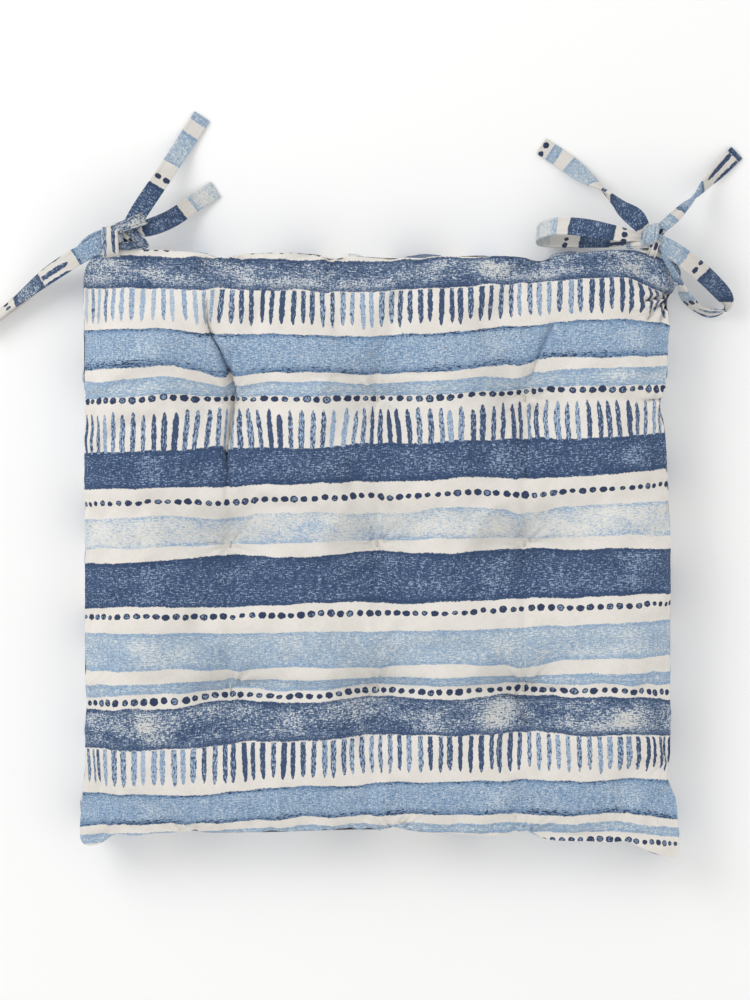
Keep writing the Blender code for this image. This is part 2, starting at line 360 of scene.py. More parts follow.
def painted_ticks(tree, u, v, grain, colour):
    """The rows of ticks over the colour: tapering strokes, dark and pale by turns."""

    def of_row(values):
        return pick(v, TICK_ROW_STARTS, list(values))

    root = of_row(row[0] for row in TICK_ROWS)
    along = (v - root) * of_row(1 / (row[1] - row[0]) for row in TICK_ROWS)
    seed = of_row((31.0, 37.0, 43.0))
    column = u * (1.0 / TICK_PITCH)
    cell = column.floor()
    offset = (dice(tree, cell, seed) - 0.5) * 0.22
    lean = (dice(tree, cell, seed + 1) - 0.5) * 0.20
    rough = (cloud(tree, u * 420, v * 330, seed, 2.0) - 0.5) * 0.30
    aside = abs(column - cell - 0.5 + offset + lean * (along - 0.5)) + rough
    reach = dice(tree, cell, seed + 2) * 0.12 + 0.86
    half = dice(tree, cell, seed + 3) * 0.08 + 0.235
    belly = along * (-along + 1.0) * 0.5 + 0.90
    taper = (-(along / reach).power(6.0) + 1.0).most(0.0).power(0.5)
    within = half * taper * belly - aside
    inside = within.step(0.0, 0.05) * along.step(-0.02, 0.02) * taper.step(0.0, 0.3)
    turn = u - of_row(row[2] - row[3] / 4 for row in TICK_ROWS)
    turn = turn * of_row(2 * math.pi / row[3] for row in TICK_ROWS)
    faded = ((-u - 0.03).most(0.0) * (1 / 0.15)).power(2.0) * of_row(row[4] for row in TICK_ROWS)
    strength = turn.sine() * 0.30 - faded + dice(tree, cell, seed + 4) * 0.5 + 0.30
    streak = cloud(tree, u * 1300, v * 380, seed + 5, 2.0) + within.fades(0.0, 0.09) * 0.07
    tone = mix(tree, strength.step(-0.30, 0.10) * grain.fades(0.40, 0.90), TICK_FAINT, TICK_PALE)
    tone = mix(tree, (strength + (streak - 0.5) * 3.0).step(0.30, 0.60), tone, TICK_INK)
    return mix(tree, inside, colour, tone)


def painted_dots(tree, u, v, wavy, colour):
    """The rows of dots over the colour. wavy is v with its waves."""
    halfway = [(a + b) / 2 for a, b in zip(DOT_ROWS, DOT_ROWS[1:])]
    seed = pick(v, halfway, [3.7 * k for k in range(len(DOT_ROWS))])
    column = u * (1.0 / DOT_PITCH) + seed
    cell = column.floor()
    across = (column - cell - 0.5 + (dice(tree, cell, seed) - 0.5) * 0.14) * DOT_PITCH
    above = wavy - pick(v, halfway, DOT_ROWS) + (dice(tree, cell, seed + 1) - 0.5) * 0.0010
    tilt = (dice(tree, cell, seed + 2) - 0.5) * 0.9
    size = dice(tree, cell, seed + 3) * 0.0007 + 0.0017
    wide = (across + above * tilt) / (size * 1.18)
    high = (above - across * tilt * 0.7) / size
    radius = (wide * wide + high * high).power(0.5) + (cloud(tree, u * 700, v * 700, seed, 1.0) - 0.5) * 0.5
    worn = cloud(tree, u * 1000, v * 1000, seed + 6, 1.0) + dice(tree, cell, seed + 4) * 0.34
    tone = mix(tree, worn.step(0.76, 0.86) * radius.fades(0.45, 0.8) * 0.9, DOT_INK, TICK_PALE)
    return mix(tree, radius.fades(0.90, 1.06), colour, tone)


def painted_stripes():
    """A node group: the print's colour at a place on the flat cloth."""
    tree = bpy.data.node_groups.new("painted_stripes", "ShaderNodeTree")
    tree.interface.new_socket("Place", in_out="INPUT", socket_type="NodeSocketVector")
    tree.interface.new_socket("Color", in_out="OUTPUT", socket_type="NodeSocketColor")
    start = tree.nodes.new("NodeGroupInput")
    end = tree.nodes.new("NodeGroupOutput")
    u, v = numbers(tree, start.outputs[0])

    wobble = (cloud(tree, u * 34, v * 90, 1.0, 2.0) - 0.5) * 0.0046
    ragged = (cloud(tree, u * 620, v * 620, 2.0, 1.0) - 0.5) * 0.0016
    grain, dash = grains(tree, u, v)
    colour = painted_bands(tree, u, v, v + wobble + ragged, grain, dash)
    colour = painted_ticks(tree, u, v, grain, colour)
    colour = painted_dots(tree, u, v, v + wobble * 0.6, colour)
    tree.links.new(colour, end.inputs[0])
    return tree


def weave(tree, u, v):
    """The cloth's threads as a height from about 0 to 1: plain weave with slubs."""
    turns = 2 * math.pi / WEAVE_PITCH
    over = (u * turns).sine() * (v * turns).sine() * 0.25 + 0.5
    slub = cloud(tree, u * 260, v * 2100, 8.0, 1.0) + cloud(tree, u * 2100, v * 260, 9.0, 1.0)
    return over * 0.5 + slub * 0.6


def cotton(name, stripes, bright=0.90):
    """Printed plain-woven cotton. The UV map "print" gives the place on the flat cloth, in metres."""
    made, tree, shader = new_material(name)
    place = tree.nodes.new("ShaderNodeUVMap")
    place.uv_map = "print"
    u, v = numbers(tree, place.outputs[0])
    printed = tree.nodes.new("ShaderNodeGroup")
    printed.node_tree = stripes
    tree.links.new(place.outputs[0], printed.inputs[0])
    threads = weave(tree, u, v)
    shade = tree.nodes.new("ShaderNodeMix")
    shade.data_type = "RGBA"
    shade.blend_type = "MULTIPLY"
    shade.inputs[0].default_value = 1.0
    level = threads.step(0.35, 1.15) * 0.16 + bright
    tree.links.new(printed.outputs[0], shade.inputs[6])
    tree.links.new(vector(tree, level, level, level), shade.inputs[7])
    tree.links.new(shade.outputs[2], shader.inputs["Base Color"])
    tree.links.new((threads * 0.1 + 0.78).socket, shader.inputs["Roughness"])
    shader.inputs["Sheen Weight"].default_value = 0.12
    shader.inputs["Sheen Roughness"].default_value = 0.5
    shader.inputs["Specular IOR Level"].default_value = 0.25
    height = tree.nodes.new("ShaderNodeBump")
    height.inputs["Distance"].default_value = THREAD_HEIGHT
    height.inputs["Strength"].default_value = 1.0
    tree.links.new(threads.socket, height.inputs["Height"])
    tree.links.new(height.outputs[0], shader.inputs["Normal"])
    return made


def thread_material():
    """Twisted sewing thread."""
    made, tree, shader = new_material("sewing_thread")
    place = tree.nodes.new("ShaderNodeNewGeometry")
    x, y, z = numbers(tree, place.outputs["Position"], 3)
    ply = ((x + y + z) * 9000).sine() * 0.5 + 0.5
    tree.links.new(mix(tree, ply, THREAD, THREAD_SHADED), shader.inputs["Base Color"])
    tree.links.new((ply * 0.1 + 0.6).socket, shader.inputs["Roughness"])
    return made


# ---- camera, light, floor


def stage():
    camera = add("camera", bpy.data.cameras.new("camera"))
    camera.data.lens = LENS
    camera.data.sensor_width = SENSOR
    camera.data.clip_end = 20
    back = Vector((0.0, math.sin(CAMERA_TILT), math.cos(CAMERA_TILT)))
    camera.location = CAMERA_TARGET + back * CAMERA_DISTANCE
    up = Vector((0.0, math.cos(CAMERA_TILT), -math.sin(CAMERA_TILT)))
    right = up.cross(back)
    turn = camera.matrix_world.to_3x3()
    turn.col[0], turn.col[1], turn.col[2] = right, up, back
    camera.rotation_euler = turn.to_euler()
    scene.camera = camera

    world = bpy.data.worlds.new("studio")
    world.use_nodes = True
    world.node_tree.nodes["Background"].inputs["Color"].default_value = SKY_COLOUR
    world.node_tree.nodes["Background"].inputs["Strength"].default_value = SKY_STRENGTH
    scene.world = world
    scene.view_settings.view_transform = "Standard"

    for name, place, size, power in LIGHTS:
        data = bpy.data.lights.new(name, "AREA")
        data.size = size
        data.energy = power
        light = add(name, data)
        light.location = place
        light.rotation_euler = (Vector((0, 0, 0)) - Vector(place)).to_track_quat("-Z", "Y").to_euler()

    bm = bmesh.new()
    bmesh.ops.create_grid(bm, x_segments=1, y_segments=1, size=FLOOR_SIZE)
    mesh = bpy.data.meshes.new("floor")
    bm.to_mesh(mesh)
    bm.free()
    paper, _, shader = new_material("floor_paper")
    shader.inputs["Base Color"].default_value = PAPER
    shader.inputs["Roughness"].default_value = 0.9
    mesh.materials.append(paper)
    add("floor", mesh)


# ---- meshes


def mesh_piece(name, points, faces, places, material):
    """An object of quads, with its places on the flat cloth in the UV map "print"."""
    mesh = bpy.data.meshes.new(name)
    mesh.from_pydata([tuple(p) for p in points], [], faces)
    layer = mesh.uv_layers.new(name="print")
    corners = read(mesh.loops, "vertex_index", np.int32)
    layer.data.foreach_set("uv", np.asarray(places, np.float32)[corners].ravel())
    mesh.materials.append(material)
    mesh.shade_smooth()
    return add(name, mesh)


def read(items, field, kind, width=1):
    """A field of all the items as an array, one row to an item."""
    found = np.zeros(len(items) * width, kind)
    items.foreach_get(field, found)
    return found.reshape(-1, width) if width > 1 else found


def points_of(mesh):
    return read(mesh.vertices, "co", np.float32, 3).astype(float)


def normals_of(mesh):
    return read(mesh.vertex_normals, "vector", np.float32, 3).astype(float)


def set_points(mesh, points):
    mesh.vertices.foreach_set("co", np.asarray(points, np.float32).ravel())
    mesh.update()


def apply_modifiers(piece):
    graph = bpy.context.evaluated_depsgraph_get()
    done = bpy.data.meshes.new_from_object(piece.evaluated_get(graph))
    piece.modifiers.clear()
    piece.data = done


def wander(x, y, z):
    """Smooth noise from about -1 to 1 at each place. One unit is one blob. In a plane, z is a seed."""
    return np.array([noise.noise(Vector(spot)) for spot in np.broadcast(x, y, z)])


def grid(n):
    """The points of a sheet of n by n cells, each as (a, b) from -1 to 1, row after row along a."""
    return [(2 * i / n - 1, 2 * j / n - 1) for j in range(n + 1) for i in range(n + 1)]


def grid_faces(n, upward=True):
    """The quads of such a sheet."""
    corners = [j * (n + 1) + i for j in range(n) for i in range(n)]
    if upward:
        return [(a, a + 1, a + n + 2, a + n + 1) for a in corners]
    return [(a, a + n + 1, a + n + 2, a + 1) for a in corners]


# ---- ties

TAPE_WIDTH = 0.0125
TAPE_THICKNESS = 0.0014
TAPE_STEP = 0.002
TAPE_CRUMPLE = 0.0003
ARC_PLACES = 9
LEFT_KNOT = (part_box("tie_left_knot")[0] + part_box("tie_left_knot")[1]) / 2
RIGHT_KNOT = (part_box("tie_right_knot")[0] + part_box("tie_right_knot")[1]) / 2


def spline(values, count_of):
    """The values on a smooth curve through the given ones, count_of(i) steps after the i-th."""
    values = np.asarray(values, float)
    ends = np.vstack([2 * values[0] - values[1], values, 2 * values[-1] - values[-2]])
    found = []
    for i in range(len(values) - 1):
        a, b, c, d = ends[i : i + 4]
        for t in np.arange(count_of(i)) / count_of(i):
            bend = (2 * a - 5 * b + 4 * c - d) * t**2
            found.append(0.5 * (2 * b + (c - a) * t + bend + (3 * b - a - 3 * c + d) * t**3))
    return np.array(found + [values[-1]])


def ribbon(name, route, prints, offset, thickness, crumple, material):
    """A flat tape. Each place of its route is (x, y, z, width share, across x, y, z), in metres.

    prints says how the cloth was cut, as (from, at, place, rate): from one of its route's places on, the
    print's place at another one, and how far the print goes on for each metre of tape. offset is the place
    across the cloth.
    """
    route = np.array(route, float)
    hops = np.linalg.norm(np.diff(route[:, :3], axis=0), axis=1)
    table = spline(route, lambda i: max(2, round(hops[i] / TAPE_STEP)))
    line, share, across = table[:, :3], table[:, 3], table[:, 4:]
    tangent = np.gradient(line, axis=0)
    tangent /= np.linalg.norm(tangent, axis=1)[:, None]
    across = across - (across * tangent).sum(1)[:, None] * tangent
    across /= np.linalg.norm(across, axis=1)[:, None]
    up = np.cross(tangent, across)
    gone = np.concatenate([[0.0], np.cumsum(np.linalg.norm(np.diff(line, axis=0), axis=1))])
    printed = np.zeros(len(line))
    for start, at, place, rate in prints:
        first, known = (int(np.argmin(np.linalg.norm(line - route[k, :3], axis=1))) for k in (start, at))
        printed[first:] = place + rate * (gone[first:] - gone[known])

    profile = tape_profile()
    points, places = [], []
    for i in range(len(line)):
        wide = TAPE_WIDTH / 2 * share[i]
        thick = thickness / 2 * (1 + 1.1 * (1 - min(1.0, share[i])))
        for side, lift in profile:
            shake = crumple * noise.noise(Vector((gone[i] * 70, side * 1.7, offset * 900)))
            points.append(line[i] + across[i] * side * wide + up[i] * (lift * thick + shake))
            places.append((side * TAPE_WIDTH / 2 + offset, printed[i]))
    around = len(profile)
    faces = []
    for i in range(len(line) - 1):
        for k in range(around):
            a, b = i * around + k, i * around + (k + 1) % around
            faces.append((a, b, b + around, a + around))
    last = (len(line) - 1) * around
    half = around // 2
    for base, turned in ((0, True), (last, False)):
        for k in range(half - 1):
            ring = (base + k, base + k + 1, base + around - 2 - k, base + around - 1 - k)
            faces.append(ring if not turned else ring[::-1])
    piece = mesh_piece(name, points, faces, places, material)
    bm = bmesh.new()
    bm.from_mesh(piece.data)
    bmesh.ops.recalc_face_normals(bm, faces=bm.faces)
    bm.to_mesh(piece.data)
    bm.free()
    piece.data.set_sharp_from_angle(angle=math.radians(50))
    return piece, line


def tape_profile():
    """The tape's cross-section, (across, up) from -1 to 1: folded edges with a row of stitching near each."""
    outline = []
    for side in (0.97, 0.86, 0.66, 0.56, 0.46, 0.2, -0.2, -0.46, -0.56, -0.66, -0.86, -0.97):
        pressed = 0.35 if abs(side) == 0.56 else 0.0
        rounded = 0.45 if abs(side) > 0.9 else 1.0
        outline.append((side, rounded - pressed))
    return outline + [(side, -lift) for side, lift in reversed(outline)]


# Where each tape runs: (x, y, z, width share, across x, y, z), from its first end, in metres
LEFT_LONG = [
    (-0.1690, 0.2060, 0.0385, 0.55, 0.83, -0.55, 0.1),
    (-0.1630, 0.2160, 0.0395, 0.92, 0.83, -0.55, 0.1),
    (-0.1570, 0.2260, 0.0365, 1.00, 0.83, -0.55, 0.0),
    (-0.1480, 0.2400, 0.0250, 1.00, 0.83, -0.55, 0.0),
    (-0.1390, 0.2540, 0.0120, 1.00, 0.83, -0.55, 0.0),
    (-0.1290, 0.2700, 0.0034, 1.00, 0.83, -0.55, 0.0),
    (-0.1180, 0.2870, 0.0013, 1.00, 0.83, -0.55, 0.0),
]
LEFT_LOOPED = [
    (-0.1700, 0.2070, 0.0415, 0.60, 0.50, -0.85, 0.0),
    (-0.1800, 0.2040, 0.0425, 0.80, 0.50, -0.85, 0.0),
    (-0.1900, 0.1990, 0.0405, 0.95, 0.52, -0.85, 0.0),
    (-0.2060, 0.1900, 0.0310, 1.00, 0.58, -0.81, 0.1),
    (-0.2240, 0.1780, 0.0190, 0.95, 0.60, -0.75, 0.4),
    (-0.2450, 0.1612, 0.0130, 0.66, 0.45, -0.55, 0.7),
    (-0.2600, 0.1490, 0.0115, 0.58, 0.42, -0.50, 0.75),
    (-0.2665, 0.1435, 0.0080, 0.58, 0.42, -0.50, 0.60),
    (-0.2600, 0.1490, 0.0045, 0.60, 0.42, -0.50, 0.50),
    (-0.2450, 0.1610, 0.0045, 0.80, 0.45, -0.55, 0.50),
    (-0.2240, 0.1780, 0.0090, 0.80, 0.60, -0.75, 0.20),
    (-0.2040, 0.1905, 0.0190, 0.75, 0.58, -0.81, 0.0),
    (-0.1915, 0.2020, 0.0310, 0.90, 0.40, -0.90, 0.0),
    (-0.1790, 0.2085, 0.0355, 0.70, 0.20, -0.97, 0.0),
    (-0.1680, 0.2095, 0.0375, 0.60, 0.30, -0.93, 0.0),
    (-0.1570, 0.2115, 0.0370, 0.90, 0.50, -0.85, 0.1),
    (-0.1480, 0.2140, 0.0310, 1.00, 0.50, -0.85, 0.1),
    (-0.1370, 0.2190, 0.0190, 1.00, 0.52, -0.85, 0.0),
    (-0.1240, 0.2280, 0.0064, 1.00, 0.52, -0.85, 0.0),
    (-0.1090, 0.2380, 0.0013, 1.00, 0.52, -0.85, 0.0),
]
RIGHT_INNER = [
    (0.1850, 0.2050, 0.0400, 0.35, 0.00, 0.93, -0.37),
    (0.1740, 0.2068, 0.0425, 0.50, 0.00, 0.93, -0.37),
    (0.1630, 0.2083, 0.0450, 0.82, 0.00, 0.93, -0.37),
    (0.1400, 0.2125, 0.0390, 1.00, 0.00, 0.93, -0.37),
    (0.1210, 0.2135, 0.0280, 1.00, 0.05, 0.93, -0.37),
    (0.1095, 0.2100, 0.0190, 1.00, 0.10, 0.90, -0.42),
    (0.1090, 0.2050, 0.0125, 1.00, 0.10, 0.80, -0.60),
    (0.1210, 0.2030, 0.0110, 0.95, 0.05, 0.70, -0.71),
    (0.1440, 0.2030, 0.0180, 0.90, 0.00, 0.70, -0.71),
    (0.1600, 0.2035, 0.0270, 0.80, 0.00, 0.70, -0.71),
    (0.1710, 0.2050, 0.0340, 0.60, 0.10, 0.80, -0.60),
    (0.1790, 0.2090, 0.0385, 0.55, 0.60, 0.80, -0.10),
    (0.1772, 0.2130, 0.0410, 0.85, 0.60, 0.80, 0.00),
    (0.1722, 0.2194, 0.0390, 1.08, 0.60, 0.80, 0.10),
    (0.1640, 0.2254, 0.0330, 0.90, 0.50, 0.60, 0.60),
    (0.1565, 0.2330, 0.0245, 0.66, 0.25, 0.30, 0.92),
    (0.1400, 0.2465, 0.0095, 0.95, -0.50, -0.62, 0.55),
    (0.1265, 0.2568, 0.0030, 1.00, -0.60, -0.80, 0.15),
    (0.1110, 0.2670, 0.0013, 1.00, -0.60, -0.80, 0.0),
]
RIGHT_OUTER = [
    (0.1800, 0.2085, 0.0430, 0.60, 0.62, 0.78, 0.0),
    (0.1900, 0.2026, 0.0450, 0.80, 0.62, 0.78, 0.0),
    (0.2000, 0.1957, 0.0455, 1.00, 0.62, 0.78, 0.0),
    (0.2115, 0.1874, 0.0400, 1.00, 0.62, 0.78, 0.0),
    (0.2250, 0.1758, 0.0260, 1.00, 0.66, 0.70, 0.2),
    (0.2345, 0.1655, 0.0145, 0.95, 0.68, 0.50, 0.5),
    (0.2350, 0.1575, 0.0100, 0.80, 0.40, 0.30, 0.85),
    (0.2260, 0.1545, 0.0085, 0.85, 0.10, 0.60, 0.80),
    (0.2160, 0.1580, 0.0130, 0.80, 0.36, 0.30, 0.80),
    (0.2083, 0.1655, 0.0240, 0.78, 0.45, 0.30, 0.70),
    (0.2030, 0.1745, 0.0365, 0.48, 0.50, 0.25, 0.83),
    (0.1962, 0.1862, 0.0450, 0.32, 0.60, 0.30, 0.74),
    (0.1905, 0.1965, 0.0440, 0.32, 0.70, 0.40, 0.60),
    (0.1880, 0.2070, 0.0400, 0.55, 0.50, -0.50, 0.60),
    (0.1905, 0.2125, 0.0400, 0.60, 0.68, -0.73, 0.30),
    (0.1980, 0.2190, 0.0370, 0.65, 0.68, -0.73, 0.30),
    (0.2072, 0.2275, 0.0250, 0.60, 0.30, -0.32, 0.90),
    (0.2195, 0.2395, 0.0105, 0.80, -0.40, 0.42, 0.80),
    (0.2310, 0.2505, 0.0052, 0.90, -0.60, 0.64, 0.45),
    (0.2430, 0.2625, 0.0016, 0.90, -0.68, 0.73, 0.1),
]


def arc(centre, first, second, along, turn, share, drift=0.0):
    """A route round part of an ellipse whose half axes are first and second, moving by drift along along."""
    centre, first, second, along = (np.array(v, float) for v in (centre, first, second, along))
    found = []
    for t in np.linspace(0, 1, ARC_PLACES):
        angle = math.radians(turn[0] + (turn[1] - turn[0]) * t)
        at = centre + first * math.cos(angle) + second * math.sin(angle) + along * drift * (t - 0.5)
        found.append((*at, share[0] + (share[1] - share[0]) * t, *along))
    return found


# The short turns of tape in each knot: name, route, how it was cut as ribbon says, where across the cloth,
# thickness and how crumpled it is
TURNS = (
    (
        "tie_left_wrap",
        arc(
            (-0.1782, 0.2025, 0.0375), (0, 0.0100, 0), (0, 0, 0.0092), (0.97, 0.10, 0),
            turn=(165, -75), share=(0.92, 0.88), drift=-0.002,
        ),
        [(0, 0, -0.1565, 1)], 0.0139, 0.0018, 0.0006,
    ),
    (
        "tie_left_lump",
        arc(
            (-0.1660, 0.2148, 0.0370), (0.0095, 0.0036, 0), (0, 0, 0.0080), (-0.36, 0.93, 0),
            turn=(180, -70), share=(0.55, 0.80),
        ),
        [(0, 0, -0.1275, 0.6)], -0.1500, 0.0030, 0.0016,
    ),
    (
        "tie_left_tuck",
        arc(
            (-0.1670, 0.2006, 0.0372), (0.0072, 0.0006, 0), (0, 0, 0.0058), (-0.1, 0.99, 0),
            turn=(185, 0), share=(0.40, 0.46),
        ),
        [(0, 0, -0.1240, 1)], 0.0200, 0.0026, 0.0014,
    ),
    (
        "tie_left_strand",
        [
            (-0.1670, 0.2120, 0.0390, 0.50, 0.70, 0.70, 0.0),
            (-0.1625, 0.2085, 0.0405, 0.55, 0.70, 0.70, 0.0),
            (-0.1580, 0.2040, 0.0400, 0.55, 0.70, 0.70, 0.0),
            (-0.1545, 0.1995, 0.0375, 0.45, 0.70, 0.70, 0.0),
        ],
        [(0, 0, -0.1270, 1)], -0.0500, 0.0024, 0.0012,
    ),
    (
        "tie_right_wrap",
        arc(
            (0.1824, 0.2070, 0.0400), (0.001, 0.0056, 0), (0, 0, 0.0084), (0.95, 0.3, 0),
            turn=(190, -70), share=(0.82, 0.78), drift=0.003,
        ),
        [(0, 0, -0.0815, 1)], 0.0200, 0.0030, 0.0016,
    ),
    (
        "tie_right_under",
        arc(
            (0.1780, 0.2010, 0.0385), (0.0095, 0, 0), (0, 0.001, 0.0050), (0.1, 0.99, 0),
            turn=(175, 5), share=(0.45, 0.45),
        ),
        [(0, 0, -0.0600, 1)], 0.0600, 0.0030, 0.0012,
    ),
    (
        "tie_right_nub",
        arc(
            (0.1848, 0.2000, 0.0400), (0.002, 0.0044, 0), (0, 0, 0.0062), (0.93, -0.35, 0),
            turn=(190, -60), share=(0.50, 0.50), drift=-0.002,
        ),
        [(0, 0, -0.0550, 1)], 0.0123, 0.0026, 0.0010,
    ),
)
# The tapes: name, route, the solids that each stands for, how it was cut and where across the cloth
TAPES = (
    (
        "tie_left_tape_long",
        LEFT_LONG,
        ["tie_left_long_tail"],
        [(0, 4, -0.0555, -0.82), (4, -1, -0.0940, -0.94)],
        0.0100,
    ),
    (
        "tie_left_tape_looped",
        LEFT_LOOPED,
        ["tie_left_loop", "tie_left_short_tail"],
        [(0, 0, 0.1080, 0.88), (10, 12, 0.1290, 0.9), (14, -1, 0.0209, 0.88)],
        0.0300,
    ),
    (
        "tie_right_tape_inner",
        RIGHT_INNER,
        ["tie_right_inner_loop", "tie_right_inner_tail"],
        [(0, 0, -0.0660, 1), (5, 7, 0.0275, 1), (11, -1, -0.1022, -0.99)],
        0.0200,
    ),
    (
        "tie_right_tape_outer",
        RIGHT_OUTER,
        ["tie_right_outer_loop", "tie_right_outer_tail"],
        [(0, 0, -0.0849, 0.94), (6, 12, 0.1355, 0.75), (13, 17, 0.1396, 0.78), (17, -1, 0.1722, 0.96)],
        0.0410,
    ),
)
# A tape's sewn end, from in the seam to in the knot: (y, how far below the knot's middle, width share)
SEWN_END = ((0.1945, 0.0030, 0.9), (0.1980, 0.0024, 0.9), (0.2015, 0.0012, 0.95), (0.2075, 0.0006, 0.95))


def ties(material):
    """The four tapes, each from its knot to its cut end, the turns in the knots and the sewn ends."""
    turns = {"left": [], "right": []}
    for name, *given in TURNS:
        side = name.split("_")[1]
        part, _ = ribbon(name, *given, material)
        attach(part, f"{side}_tie")
        turns[side].append(part)
    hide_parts("tie_left_knot")
    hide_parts("tie_right_knot")

    for name, route, replaced, prints, offset in TAPES:
        side = name.split("_")[1]
        piece, line = ribbon(name, route, prints, offset, TAPE_THICKNESS, TAPE_CRUMPLE, material)
        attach(piece, f"{side}_tie")
        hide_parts(*replaced)
    for side, knot in (("left", LEFT_KNOT), ("right", RIGHT_KNOT)):
        name = f"tie_{side}_sewn_end"
        route = [(knot.x, y, knot.z - below, share, 1, 0, 0) for y, below, share in SEWN_END]
        piece, _ = ribbon(name, route, [(0, 0, -0.0550, 1)], 0.02, TAPE_THICKNESS, TAPE_CRUMPLE, material)
        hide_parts(f"tie_{side}_root")
        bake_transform(piece)


# ---- cover

# How round each corner is, as a share of half the side
REAR_LEFT_CORNER = 0.09
REAR_RIGHT_CORNER = 0.11
FRONT_CORNER = 0.03
SIDES = ("front", "right", "rear", "left")


def blend_edge(edge, at):
    """Where the outline is at a place along its side."""
    xs, ys = zip(*edge)
    return float(np.interp(at, xs, ys))


def pinch(along, places):
    """How much the notches of a side draw it in at a place along it."""
    return sum(depth * math.exp(-(((along - at) / NOTCH_WIDTH) ** 2)) for at, depth in places)


def notches(side):
    return [(at, depth) for name, at, depth in SEAM_NOTCHES if name == side]


def plan(a, b):
    """The place in plan of the panel at a and b, each from -1 to 1."""
    corner = FRONT_CORNER if b < 0 else REAR_LEFT_CORNER if a < 0 else REAR_RIGHT_CORNER
    over_a, over_b = abs(a) - (1 - corner), abs(b) - (1 - corner)
    if over_a > 0 and over_b > 0:
        pull = max(over_a, over_b) / math.hypot(over_a, over_b)
        a = math.copysign(1 - corner + over_a * pull, a)
        b = math.copysign(1 - corner + over_b * pull, b)
    x, y = a * HALF_X, b * HALF_Y
    left, right = blend_edge(LEFT_EDGE, y), blend_edge(RIGHT_EDGE, y)
    front, rear = blend_edge(FRONT_EDGE, x), blend_edge(REAR_EDGE, x)
    spot_x = left + (a + 1) / 2 * (right - left)
    spot_y = front + (b + 1) / 2 * (rear - front)
    spot_x += pinch(y, notches("left")) * math.exp(-(a + 1) * HALF_X / NOTCH_REACH)
    spot_x -= pinch(y, notches("right")) * math.exp(-(1 - a) * HALF_X / NOTCH_REACH)
    spot_y += pinch(x, notches("front")) * math.exp(-(b + 1) * HALF_Y / NOTCH_REACH)
    spot_y -= pinch(x, notches("rear")) * math.exp(-(1 - b) * HALF_Y / NOTCH_REACH)
    return spot_x, spot_y


# How far each part of the print leans: (where, rise at the left edge, rise at the right edge)
PRINT_LEAN = (
    (-0.200, -0.0075, 0.0015), (-0.165, -0.0080, 0.0020), (-0.115, -0.0075, 0.0020),
    (-0.070, -0.0020, 0.0055), (-0.020, -0.0060, 0.0040), (0.055, -0.0055, 0.0060),
    (0.105, -0.0015, 0.0070), (0.127, 0.0030, 0.0115), (0.150, 0.0030, 0.0112),
    (0.180, 0.0036, 0.0122), (0.200, 0.0040, 0.0100),
)
# Where the cloth was pulled out of line when it was sewn: (x, y, how far to the rear, how wide)
PRINT_PULLS = (
    (-0.150, 0.122, 0.0030, 0.034), (0.112, 0.122, 0.0032, 0.034), (0.057, 0.066, 0.0028, 0.024),
    (0.057, 0.016, 0.0026, 0.026), (-0.115, -0.030, -0.0024, 0.022), (-0.125, -0.150, -0.0026, 0.042),
    (0.050, -0.140, 0.0018, 0.050), (0.108, -0.150, 0.0022, 0.020), (0.195, 0.005, -0.0028, 0.020),
    (0.202, -0.112, -0.0045, 0.030), (0.202, -0.182, -0.0060, 0.026),
)
LEAN_LEFT_X = -0.189
LEAN_RIGHT_X = 0.165
TUFT_GATHER = 0.34
TUFT_GATHER_REACH = 0.024
# How far the print runs over the left and right edges, from where, and over how much of the cloth
EDGE_ROLL, EDGE_ROLL_START, EDGE_ROLL_REACH = 0.010, 0.172, 0.026
# The same for its droop at the rear right corner, which starts at an x and a y
CORNER_DROOP, CORNER_DROOP_START, CORNER_DROOP_REACH = 0.0140, (0.152, 0.115), 0.045

# Folds of the top: the line of each, its depth and half width, and the cloth that it hides
CREASES = (
    (
        (
            (-0.1135, 0.1720), (-0.1125, 0.1500), (-0.1100, 0.1410), (-0.1037, 0.1270), (-0.0990, 0.1145),
            (-0.0965, 0.1020), (-0.0985, 0.0816), (-0.1007, 0.0628), (-0.1007, 0.0250),
        ),
        0.0085, 0.0011, 0.0030,
    ),
    (((0.1190, 0.1520), (0.1100, 0.1330), (0.1040, 0.1170), (0.1000, 0.1040)), 0.0040, 0.0028, 0.0030),
    (((0.1000, 0.0900), (0.1010, 0.0600), (0.1000, 0.0420)), 0.0022, 0.0016, 0.0010),
    (((0.1995, 0.1668), (0.1915, 0.1680), (0.1840, 0.1668), (0.1775, 0.1640)), 0.0044, 0.0014, 0.0040),
    (((0.1985, 0.1655), (0.1905, 0.1622), (0.1845, 0.1570), (0.1810, 0.1510)), 0.0045, 0.0013, 0.0025),
    (((0.1985, 0.1640), (0.1935, 0.1570), (0.1905, 0.1490)), 0.0035, 0.0013, 0.0020),
    (((0.1940, -0.1290), (0.1938, -0.1390), (0.1970, -0.1500)), 0.0030, 0.0013, 0.0020),
    (((0.0950, -0.0990), (0.0975, -0.1100), (0.1020, -0.1220)), 0.0032, 0.0015, 0.0015),
    (((0.1960, 0.0985), (0.1880, 0.0980), (0.1780, 0.0960)), 0.0030, 0.0015, 0.0025),
    (
        ((-0.0950, 0.1030), (-0.0700, 0.1080), (-0.0400, 0.1125), (0.0100, 0.1150), (0.0500, 0.1145)),
        0.0016, 0.0030, 0.0,
    ),
)

